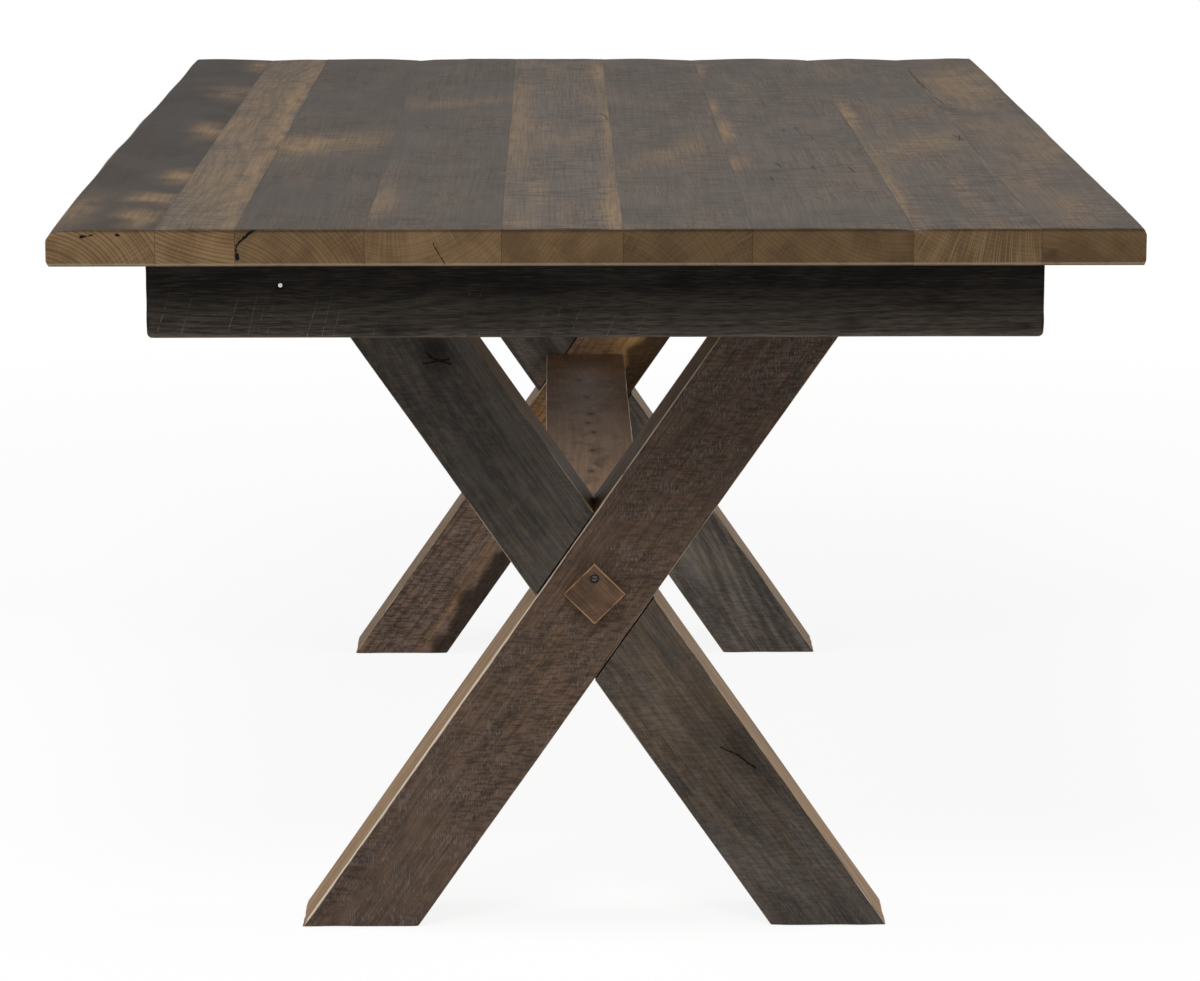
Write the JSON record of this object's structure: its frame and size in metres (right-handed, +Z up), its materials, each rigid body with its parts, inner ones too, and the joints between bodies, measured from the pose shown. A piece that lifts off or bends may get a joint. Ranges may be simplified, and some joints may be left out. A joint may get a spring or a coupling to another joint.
{
  "type": "sawbuck table",
  "caption": "Rustic sawbuck dining table: wide plank top on an apron frame, carried by X-shaped trestles with a stretcher bolted between their crossings.",
  "frame": {"origin": "on the floor under the middle of the top", "axes": "+Z up, +X across the table, +Y along the table from the pictured end to the far end"},
  "size_m": [1.0668, 1.8288, 0.762],
  "materials": {
    "top_wood": "weathered planks, waxed",
    "apron_wood": "dark stained, waxed",
    "leg_wood": "dark waxed timber with worn edges",
    "stretcher_wood": "waxed timber",
    "cover_wood": "warm brown, worn edges",
    "inner_wood": "unfinished sawn wood",
    "screw_steel": "black oxide",
    "bolt_steel": "zinc plated"
  },
  "bodies": {
    "table": {"barrel_nuts": "bolt_steel", "bearer_screws": "screw_steel", "bolt_washers": "bolt_steel", "clip_screws": "screw_steel", "corner_block_screws": "screw_steel", "cover_screws": "screw_steel", "front_apron": "apron_wood", "front_bearer": "inner_wood", "front_inner_leg": "leg_wood", "front_left_corner_block": "inner_wood", "front_outer_leg": "leg_wood", "front_right_corner_block": "inner_wood", "lag_screws": "screw_steel", "left_apron": "apron_wood", "rear_apron": "apron_wood", "rear_bearer": "inner_wood", "rear_inner_leg": "leg_wood", "rear_left_corner_block": "inner_wood", "rear_outer_leg": "leg_wood", "rear_right_corner_block": "inner_wood", "right_apron": "apron_wood", "stretcher": "stretcher_wood", "stretcher_bolts": "bolt_steel", "top_clips": "bolt_steel", "top_plank_1": "top_wood", "top_plank_2": "top_wood", "top_plank_3": "top_wood", "top_plank_4": "top_wood", "top_plank_5": "top_wood", "top_plank_6": "top_wood", "top_plank_7": "top_wood", "top_plank_8": "top_wood", "top_plank_9": "top_wood", "top_splines": "inner_wood"},
    "front_cover": {"front_bolt_cover": "cover_wood"},
    "rear_cover": {"rear_bolt_cover": "cover_wood"}
  },
  "joints": [
    {"name": "front_cover_swing", "type": "hinge", "parent": "table", "child": "front_cover", "pos_m": [0, -0.6924, 0.37282], "axis": [0, -1, 0], "continuous": true},
    {"name": "rear_cover_swing", "type": "hinge", "parent": "table", "child": "rear_cover", "pos_m": [0, 0.6924, 0.37282], "axis": [0, 1, 0], "continuous": true}
  ]
}
